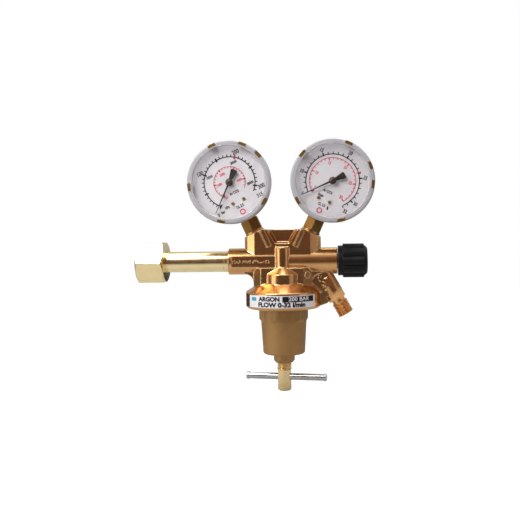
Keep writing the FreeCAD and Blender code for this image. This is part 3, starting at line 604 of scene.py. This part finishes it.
def makeMarksTree():
    # a row of small raised strokes, as a foundry's casting marks look; they say nothing
    tree, given, out = newShapeTree("castMarks", [
        ("Count", "Int", 14), ("Spacing", "Float", 0.002), ("Stroke Length", "Float", 0.001),
        ("Stroke Width", "Float", 0.0003), ("Relief", "Float", 0.0003), ("Seed", "Int", 3),
        ("Metal", "Material", None)])
    number = add(tree, "GeometryNodeInputIndex").outputs[0]
    strokes = calc(tree, "FLOOR", calc(tree, "DIVIDE", number, 3.0))
    along = calc(tree, "MULTIPLY", calc(tree, "SUBTRACT", strokes, calc(tree, "DIVIDE", given["Count"], 2.0)),
                 given["Spacing"])

    def chance(low, high, extra):
        seed = calc(tree, "ADD", given["Seed"], extra)
        node = add(tree, "FunctionNodeRandomValue", {"Seed": seed}, data_type="FLOAT")
        node.inputs[2].default_value, node.inputs[3].default_value = low, high
        return node.outputs[1]

    side = calc(tree, "MULTIPLY", chance(-0.5, 0.5, 1.0), given["Stroke Length"])
    lift = calc(tree, "MULTIPLY", chance(-0.8, 0.8, 2.0), given["Stroke Length"])
    spot = add(tree, "ShaderNodeCombineXYZ", {0: calc(tree, "ADD", along, side), 1: lift})
    dots = add(tree, "GeometryNodePoints", {"Count": calc(tree, "MULTIPLY", given["Count"], 3.0),
                                            "Position": spot.outputs[0]})
    ball = add(tree, "GeometryNodeMeshUVSphere", {"Segments": 10, "Rings": 6, "Radius": 0.5})
    size = add(tree, "ShaderNodeCombineXYZ", {0: given["Stroke Length"], 1: given["Stroke Width"],
                                              2: calc(tree, "MULTIPLY", given["Relief"], 2.0)})
    quarter = calc(tree, "MULTIPLY", calc(tree, "FLOOR", chance(0.0, 3.99, 3.0)), math.pi / 4)
    lean = add(tree, "ShaderNodeCombineXYZ", {2: quarter})
    placed = add(tree, "GeometryNodeInstanceOnPoints", {
        "Points": dots.outputs[0], "Instance": ball.outputs["Mesh"], "Rotation": lean.outputs[0],
        "Scale": size.outputs[0]})
    finishShape(tree, out, placed.outputs[0], given["Metal"])
    return tree


def makeRibsTree():
    # rounded ribs in a circle about local Z
    tree, given, out = newShapeTree("ribRing", [
        ("Count", "Int", 24), ("Radius", "Float", 0.007), ("Rib Length", "Float", 0.004),
        ("Rib Radius", "Float", 0.0004), ("Metal", "Material", None)])
    number = add(tree, "GeometryNodeInputIndex").outputs[0]
    turn = calc(tree, "DIVIDE", calc(tree, "MULTIPLY", number, 2 * math.pi), given["Count"])
    spot = add(tree, "ShaderNodeCombineXYZ", {
        0: calc(tree, "MULTIPLY", calc(tree, "COSINE", turn), given["Radius"]),
        1: calc(tree, "MULTIPLY", calc(tree, "SINE", turn), given["Radius"])})
    dots = add(tree, "GeometryNodePoints", {"Count": given["Count"], "Position": spot.outputs[0]})
    rib = add(tree, "GeometryNodeMeshUVSphere", {"Segments": 10, "Rings": 10, "Radius": 1.0})
    size = add(tree, "ShaderNodeCombineXYZ", {0: given["Rib Radius"], 1: given["Rib Radius"],
                                              2: calc(tree, "MULTIPLY", given["Rib Length"], 0.5)})
    placed = add(tree, "GeometryNodeInstanceOnPoints", {
        "Points": dots.outputs[0], "Instance": rib.outputs["Mesh"], "Scale": size.outputs[0]})
    finishShape(tree, out, placed.outputs[0], given["Metal"])
    return tree


threadTree, scaleTree = makeThreadTree(), makeScaleTree()
marksTree, ribsTree = makeMarksTree(), makeRibsTree()
print("shape trees built")


# threads cut into copies of the plain solids
def threadRod(s, metal):
    return growShape(threadTree, {
        "Length": s["length"] * mm, "Core Radius": s["core"] * mm, "Crest Radius": s["crest"] * mm,
        "Pitch": s["pitch"] * mm, "Runout": s["runout"] * mm, "Rows": int(s["length"] / s["pitch"] * 10),
        "Metal": metal})


def outsideThread(node, s, start, along, metal, name, body):
    # what surrounds a threaded rod is taken away from the node's plain cylinder
    around = turnMesh([(0, -s["length"] / 2 * mm), (s["clear"] * mm, -s["length"] / 2 * mm),
                       (s["clear"] * mm, s["length"] / 2 * mm), (0, s["length"] / 2 * mm)])
    longer = dict(s, length=s["length"] + 2.0)
    die = carve(around, threadRod(longer, metal), "DIFFERENCE")
    die.transform(lineUp(start, along))
    mesh = carve(cadCopy(node), die, "DIFFERENCE")
    smoothTo(mesh, 28)
    piece = newPiece(name, mesh, metal)
    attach(piece, body)
    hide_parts(node)
    return piece


nippleThread = {"core": 5.6, "crest": 6.62, "pitch": 1.337, "length": 9.5, "runout": 0.7, "clear": 7.4,
                "foot": 43.75, "leaves": 26.4}
along = Vector(outletWay)
nippleAt = at(nippleThread["leaves"], 0, 0) + along * nippleThread["foot"] * mm
outsideThread("outlet_nipple", nippleThread, nippleAt, along, outletBrass, "outlet_nipple_threaded",
              "regulator")

screwThread = {"core": 4.9, "crest": 6.0, "pitch": 1.75, "length": 17.5, "runout": 0.9, "clear": 7.0,
               "middle": -78.35}
outsideThread("adjusting_screw", screwThread, at(0, 0, screwThread["middle"]), (0, 0, 1), screwBrass,
              "adjusting_screw_threaded", "adjusting_screw")

nutThread = {"core": 9.9, "crest": 10.75, "pitch": 1.814, "length": 16.5, "runout": 0.8, "inside": 13.5,
             "past": 0.5}
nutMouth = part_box("inlet_nut")[0].x
tap = threadRod(nutThread, inletBrass)
tapMiddle = nutMouth + (nutThread["inside"] - nutThread["length"] / 2 + nutThread["past"]) * mm
tap.transform(lineUp(Vector((tapMiddle, 0, 0)), (1, 0, 0)))
nutMesh = carve(cadCopy("inlet_nut"), tap, "DIFFERENCE")
smoothTo(nutMesh, 28)
nut = newPiece("inlet_nut_threaded", nutMesh, inletBrass)
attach(nut, "inlet_nut")
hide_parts("inlet_nut")
print("threads cut")


# gauge windows: a clear pane inside a frosted, notched rim
windowSettings = {"paneRadius": 29.2, "cutterDepth": 40, "cutterSides": 96}
for name in ("high", "low"):
    place = dialMatrix(name) @ Matrix.Rotation(math.radians(90), 4, "X")
    radius, depth = windowSettings["paneRadius"] * mm, windowSettings["cutterDepth"] * mm
    disc = turnMesh([(0, 0), (radius, 0), (radius, depth), (0, depth)], windowSettings["cutterSides"])
    disc.transform(place)
    pane = carve(cadCopy(name + "_window"), disc.copy(), "INTERSECT")
    rim = carve(cadCopy(name + "_window"), disc, "DIFFERENCE")
    for part, mesh, finish in (("pane", pane, clearPane), ("rim", rim, frostedRim)):
        smoothTo(mesh, 30)
        piece = newPiece(name + "_window_" + part, mesh, finish)
        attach(piece, "regulator")
        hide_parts(name + "_window")
print("windows made")


# dial printing
def lettering(words, size, narrow=0.8, bold=0.0, thick=0.02):
    curve = bpy.data.curves.new("lettering", "FONT")
    curve.body, curve.size = words, size * mm
    curve.align_x, curve.align_y = "CENTER", "CENTER"
    curve.offset, curve.extrude, curve.resolution_u = bold * mm, thick * mm, 3
    holder = newPiece("lettering", curve)
    mesh = settle(holder)
    mesh.transform(Matrix.Diagonal((narrow, 1, 1, 1)))
    return mesh


flatOnDial = Matrix.Rotation(math.radians(90), 4, "X")


def onDial(degrees, radius):
    turn = math.radians(degrees)
    return Matrix.Translation((radius * mm * math.sin(turn), 0, radius * mm * math.cos(turn))) @ flatOnDial


def dialScale(s, ink):
    return growShape(scaleTree, {
        "Radius": s["radius"] * mm, "Line Width": s["line"] * mm, "Thickness": 0.05 * mm,
        "Start": math.radians(s["start"]), "Sweep": math.radians(s["sweep"]), "Steps": 120,
        "Minor Count": s["minorCount"], "Minor Step": math.radians(s["minorStep"]),
        "Minor Length": s["minorLength"] * mm, "Minor Offset": s["minorOffset"] * mm,
        "Minor Width": s["minorWidth"] * mm,
        "Major Count": s["majorCount"], "Major Start": math.radians(s["majorStart"]),
        "Major Step": math.radians(s["majorStep"]), "Major Length": s["majorLength"] * mm,
        "Major Offset": s["majorOffset"] * mm, "Major Width": s["majorWidth"] * mm, "Ink": ink})


dialPrints = {
    "high": {
        "black": {"radius": 20.4, "line": 0.85, "start": 225, "sweep": 270, "minorCount": 32,
                  "minorStep": 8.571, "minorWidth": 0.75, "minorLength": 2.0, "minorOffset": 0.9,
                  "majorCount": 7, "majorStart": 225, "majorStep": 42.857,
                  "majorLength": 3.4, "majorOffset": 0.1, "majorWidth": 1.15},
        "red": {"radius": 12.6, "line": 0.55, "start": 225, "sweep": 270, "minorCount": 23,
                "minorStep": 11.82, "minorWidth": 0.6, "minorLength": 1.5, "minorOffset": -0.6,
                "majorCount": 5, "majorStart": 225, "majorStep": 59.1,
                "majorLength": 2.4, "majorOffset": -0.6, "majorWidth": 0.9},
        "blackText": [("0", 223, 27.6, 3.4), ("100", 310.7, 24.6, 4.2), ("200", 36.4, 24.6, 4.2),
                      ("300", 122.1, 25.6, 4.2), ("315", 137.5, 26.3, 3.9), ("bar", 217, 24.4, 2.8),
                      ("kPa", 210, 20.2, 2.8), ("10000", 309, 16.6, 2.5), ("20000", 36.4, 16.2, 2.5),
                      ("30000", 117, 16.6, 2.5), ("Ar CO2", 180, 9.0, 2.6), ("CL 2.5", 181, 20.8, 2.6)],
        "redText": [("1000", 281, 8.3, 2.5), ("2000", 343, 8.5, 2.5), ("4000", 102, 8.2, 2.5),
                    ("psi", 215, 12.5, 2.2)],
        "mark": 36.4, "ring": (180.5, 25.6)},
    "low": {
        "black": {"radius": 21.2, "line": 0.80, "start": 222.1, "sweep": 271.2, "minorCount": 27,
                  "minorStep": 10.5, "minorWidth": 0.75, "minorLength": 2.0, "minorOffset": 0.9,
                  "majorCount": 6, "majorStart": 264.1, "majorStep": 52.55,
                  "majorLength": 2.9, "majorOffset": 0.9, "majorWidth": 1.1},
        "red": {"radius": 18.3, "line": 0.55, "start": 219.3, "sweep": 270, "minorCount": 26,
                "minorStep": 10.8, "minorWidth": 0.6, "minorLength": 1.5, "minorOffset": -0.6,
                "majorCount": 6, "majorStart": 219.3, "majorStep": 54.0,
                "majorLength": 2.4, "majorOffset": -0.9, "majorWidth": 0.85},
        "blackText": [("6", 224, 25.6, 3.3), ("10", 264.1, 25.6, 3.6), ("15", 316.8, 25.8, 3.6),
                      ("20", 9.3, 25.8, 3.8), ("25", 62.1, 25.8, 3.8), ("30", 112.5, 25.8, 3.6),
                      ("32", 134.5, 26.2, 3.8), ("l/min", 196, 14.6, 2.6), ("Ar CO2", 180, 9.4, 2.6),
                      ("CL 2.5", 181, 20.8, 2.5)],
        "redText": [("5", 226, 15.0, 3.0), ("10", 273, 14.2, 3.1), ("15", 326, 14.2, 3.1),
                    ("20", 20.5, 14.3, 3.1), ("25", 74.5, 14.1, 3.1), ("30", 129.6, 14.6, 3.1)],
        "mark": 49.0, "ring": (180.5, 25.6)}}
printSettings = {"front": -14.05, "grow": 1.15, "narrow": 0.78, "blackBold": 0.13, "redBold": 0.11}
markSettings = {"thick": 0.09, "line": 0.1, "sweep": 0.001, "long": 4.0, "wide": 0.8}
ringSettings = {"radius": 1.9, "line": 0.9, "thick": 0.05, "steps": 40}

for name, prints in dialPrints.items():
    place = dialMatrix(name) @ Matrix.Translation((0, printSettings["front"] * mm, 0))
    black = [dialScale(prints["black"], inkBlack)]
    red = [dialScale(prints["red"], inkRed)]
    for texts, bold, meshes in ((prints["blackText"], printSettings["blackBold"], black),
                                (prints["redText"], printSettings["redBold"], red)):
        for words, degrees, radius, size in texts:
            mesh = lettering(words, size * printSettings["grow"], printSettings["narrow"], bold)
            mesh.transform(onDial(degrees, radius))
            meshes.append(mesh)
    s = markSettings
    mark = growShape(scaleTree, {
        "Radius": prints["black"]["radius"] * mm, "Thickness": s["thick"] * mm, "Steps": 1,
        "Sweep": s["sweep"], "Line Width": s["line"] * mm, "Minor Count": 0, "Major Count": 1,
        "Start": math.radians(prints["mark"]),
        "Major Start": math.radians(prints["mark"]), "Major Length": s["long"] * mm,
        "Major Width": s["wide"] * mm, "Ink": inkRed})
    red.append(mark)
    degrees, radius = prints["ring"]
    s = ringSettings
    ring = growShape(scaleTree, {
        "Radius": s["radius"] * mm, "Line Width": s["line"] * mm, "Thickness": s["thick"] * mm,
        "Steps": s["steps"], "Sweep": 2 * math.pi, "Minor Count": 0, "Major Count": 0, "Ink": inkRed})
    ring.transform(Matrix.Translation(onDial(degrees, radius).to_translation()))
    red.append(ring)
    for colour, meshes, ink in (("black", black, inkBlack), ("red", red, inkRed)):
        for mesh in meshes:
            mesh.transform(place)
        piece = joinMeshes(name + "_dial_print_" + colour, meshes, ink)
        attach(piece, "regulator")
print("dials printed")


# pointer hub caps
hubSettings = {"radius": 2.3, "front": -17.75, "back": -16.9, "crown": 0.25, "corner": 0.2, "dome": 0.06,
               "domeShare": 0.6, "sides": 40}
for name in ("high", "low"):
    s = hubSettings
    cap = turnMesh([(0, -s["back"] * mm), (s["radius"] * mm, -s["back"] * mm),
                    (s["radius"] * mm, (-s["front"] - s["crown"] - s["corner"]) * mm),
                    ((s["radius"] - s["corner"]) * mm, (-s["front"] - s["crown"]) * mm),
                    (s["radius"] * s["domeShare"] * mm, (-s["front"] - s["dome"]) * mm),
                    (0, -s["front"] * mm)], s["sides"])
    cap.transform(dialMatrix(name) @ Matrix.Rotation(math.radians(90), 4, "X"))
    smoothTo(cap, 40)
    piece = newPiece(name + "_hub_cap", cap, hubBronze)
    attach(piece, name + "_pointer")
print("hub caps made")


# label printing, wrapped round the housing
labelSettings = {"radius": 30.66, "thick": 0.03, "slice": 1.2, "tileStep": 0.8}


def wrap(mesh, radius):
    # x is the way round the ring from its front, y is height, z is outwards
    for vertex in mesh.vertices:
        turn = vertex.co.x / (radius * mm)
        out = radius * mm + vertex.co.z
        vertex.co = Vector((springX + out * math.sin(turn), -out * math.cos(turn), vertex.co.y))
    return mesh


def labelWords(words, size, x, z, narrow, bold):
    mesh = lettering(words, size, narrow, bold, labelSettings["thick"])
    made = bmesh.new()
    made.from_mesh(mesh)
    bmesh.ops.remove_doubles(made, verts=made.verts, dist=1e-7)
    for cutAt in range(-14, 15):
        faces = made.verts[:] + made.edges[:] + made.faces[:]
        across = cutAt * labelSettings["slice"] * mm
        bmesh.ops.bisect_plane(made, geom=faces, plane_co=(across, 0, 0), plane_no=(1, 0, 0))
    made.to_mesh(mesh)
    made.free()
    mesh.transform(Matrix.Translation((x * mm, z * mm, 0)))
    return wrap(mesh, labelSettings["radius"] + labelSettings["thick"])


def labelTile(x0, x1, z0, z1):
    made = bmesh.new()
    steps = max(2, int((x1 - x0) / labelSettings["tileStep"]))
    bmesh.ops.create_grid(made, x_segments=steps, y_segments=2, size=0.5)
    for vertex in made.verts:
        x, z = x0 + (vertex.co.x + 0.5) * (x1 - x0), z0 + (vertex.co.y + 0.5) * (z1 - z0)
        vertex.co = Vector((x * mm, z * mm, 0))
    raised = bmesh.ops.extrude_face_region(made, geom=made.faces[:])
    for part in raised["geom"]:
        if isinstance(part, bmesh.types.BMVert):
            part.co.z -= labelSettings["thick"] * mm
    bmesh.ops.recalc_face_normals(made, faces=made.faces)
    mesh = bpy.data.meshes.new("tile")
    made.to_mesh(mesh)
    made.free()
    return wrap(mesh, labelSettings["radius"])


labelPieces = {
    "label_print_black": (inkBlack, [labelTile(1.0, 28.3, -30.5, -26.1)]),
    "label_print_blue": (inkBlue, [labelTile(-27.2, -21.6, -29.9, -27.0)]),
    "label_print_white": (labelFilm, [labelWords("200 BAR", 4.4, 14.6, -28.3, 1.12, 0.06)]),
    "label_print_dark": (inkSlate, [labelWords("ARGON", 4.6, -9.9, -28.3, 1.06, 0.25),
                                    labelWords("FLOW 0-32 l/min", 4.9, 0.2, -32.75, 1.12, 0.25)])}
for name, (ink, meshes) in labelPieces.items():
    piece = joinMeshes(name, meshes, ink)
    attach(piece, "regulator")
print("label printed")


# casting marks on the body
markRows = {
    "bar": {"count": 15, "spacing": 2.05, "long": 1.45, "wide": 0.5, "high": 0.5, "seed": 5,
            "middle": (-24.6, -9.75, 0.0), "turn": 0.0},
    "arm": {"count": 7, "spacing": 2.3, "long": 1.7, "wide": 0.55, "high": 0.5, "seed": 11,
            "middle": (32.4, -6.2, -18.2), "turn": 59.0}}
marks = []
for name, s in markRows.items():
    mesh = growShape(marksTree, {
        "Count": s["count"], "Spacing": s["spacing"] * mm, "Stroke Length": s["long"] * mm,
        "Stroke Width": s["wide"] * mm, "Relief": s["high"] * mm, "Seed": s["seed"], "Metal": markBrassWithHighlight})
    turn = Matrix.Rotation(math.radians(s["turn"]), 4, "Y")
    mesh.transform(Matrix.Translation(at(*s["middle"])) @ turn @ flatOnDial)
    marks.append(mesh)


def ribRing(s, metal):
    return growShape(ribsTree, {"Count": s["count"], "Radius": s["radius"] * mm, "Rib Length": s["long"] * mm,
                                "Rib Radius": s["rib"] * mm, "Metal": metal})


ringMarkSettings = {"count": 40, "radius": 2.7, "long": 0.6, "rib": 0.32, "middle": (20.1, -10.3, -10.8),
                    "turn": 45}
ringMark = ribRing(ringMarkSettings, markBrassWithHighlight)
turn = Matrix.Rotation(math.radians(ringMarkSettings["turn"]), 4, "Z")
ringMark.transform(Matrix.Translation(at(*ringMarkSettings["middle"])) @ turn @ flatOnDial)
marks.append(ringMark)
piece = joinMeshes("body_cast_marks", marks, markBrassWithHighlight)
smoothTo(piece.data, 60)
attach(piece, "regulator")

knurlSettings = {"count": 30, "radius": 7.05, "long": 4.2, "rib": 0.4, "middle": (0, 33.6, -12.5)}
knurl = ribRing(knurlSettings, backBrass)
knurl.transform(lineUp(at(*knurlSettings["middle"]), (0, 1, 0)))
smoothTo(knurl, 60)
piece = newPiece("relief_cap_knurl", knurl, backBrass)
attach(piece, "regulator")
print("marks and knurl made")


# finishes for the solids that stay
finishes = {
    forgedBrass: ["body"],
    bonnetBrass: ["bonnet"],
    stemBrass: ["high_stem", "low_stem"],
    caseBrass: ["high_case", "low_case", "dial_screws"],
    inletBrass: ["inlet_nut", "inlet_stem"],
    screwBrass: ["adjusting_screw", "valve_nozzle", "valve_poppet", "diaphragm_plate", "diaphragm_washer",
                 "valve_gland", "valve_stem"],
    outletBrass: ["outlet_nipple", "gauge_seals"],
    backBrass: ["relief_housing", "relief_disc", "relief_adjuster", "relief_cap", "high_movement_frame",
                "low_movement_frame", "high_sector", "low_sector", "high_bourdon_tube", "low_bourdon_tube"],
    chromeBar: ["handle_bar"],
    steelPins: ["push_pin", "spring_button", "thrust_ball", "knob_screw", "high_pointer_arbor",
                "low_pointer_arbor", "high_link", "low_link"],
    springWire: ["nut_clip_ring", "filter_clip", "poppet_spring", "range_spring", "relief_spring"],
    sinterBronze: ["inlet_filter"],
    knobPlastic: ["knob", "knob_cap"],
    needleBlack: ["high_pointer", "low_pointer"],
    sealRubber: ["inlet_o_ring", "nozzle_o_ring", "gland_o_ring", "diaphragm", "blowout_plugs"],
    seatPlastic: ["poppet_seat", "seat_pad", "slip_washer"],
    dialLacquer: ["high_dial", "low_dial"],
    clearPane: ["high_window", "low_window"],
    labelFilm: ["label"]}
for finish, nodes in finishes.items():
    for node in nodes:
        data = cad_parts[node].data
        if not data.materials:
            data.materials.append(finish)
        for number in range(len(data.materials)):
            data.materials[number] = finish
left = set(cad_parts) - {node for nodes in finishes.values() for node in nodes}
print("finishes given; nodes left without one:", sorted(left))


# floor
floorSettings = {"half": 2.5, "gap": 0.2, "near": 0.16, "far": 0.45, "glow": 1.15, "glowShare": 0.75}


def makeFloor(s):
    made = bmesh.new()
    bmesh.ops.create_grid(made, x_segments=24, y_segments=24, size=s["half"])
    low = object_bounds()[0].z - s["gap"] * mm
    for vertex in made.verts:
        vertex.co += Vector((springX, 0, low))
    mesh = bpy.data.meshes.new("floor")
    made.to_mesh(mesh)
    made.free()
    material, tree, shader = newMaterial("paleFloor", {"Roughness": 0.7})
    skin = useGroup(tree, grain, {"Scale": 60.0, "Cloud Scale": 2.0, "Seed": 20.0})
    feed(tree, shader.inputs["Base Color"],
         blendColours(tree, skin["Tone"], rgb(0.90, 0.90, 0.90), rgb(0.93, 0.93, 0.93)))
    # the far floor is dark to reflections, as with black card round the table
    away = add(tree, "ShaderNodeVectorMath", {0: add(tree, "ShaderNodeTexCoord").outputs["Object"],
                                              1: (springX, 0.0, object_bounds()[0].z)}, operation="DISTANCE")
    dim = span(tree, away.outputs["Value"], s["near"], s["far"], 0.0, 1.0)
    card = add(tree, "ShaderNodeBsdfDiffuse", {
        "Color": blendColours(tree, dim, rgb(0.5, 0.5, 0.5), rgb(0.05, 0.05, 0.05))})
    glow = add(tree, "ShaderNodeEmission", {"Color": rgb(1, 1, 1), "Strength": s["glow"]})
    pale = add(tree, "ShaderNodeMixShader", {0: s["glowShare"], 1: shader.outputs[0], 2: glow.outputs[0]})
    ray = add(tree, "ShaderNodeLightPath").outputs["Is Camera Ray"]
    seen = add(tree, "ShaderNodeMixShader", {0: ray, 1: card.outputs[0], 2: pale.outputs[0]})
    feed(tree, tree.nodes["Material Output"].inputs["Surface"], seen.outputs[0])
    return newPiece("floor", mesh, material)


makeFloor(floorSettings)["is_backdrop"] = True

scene = bpy.context.scene
scene.view_settings.view_transform = "Standard"
print("scene ready")
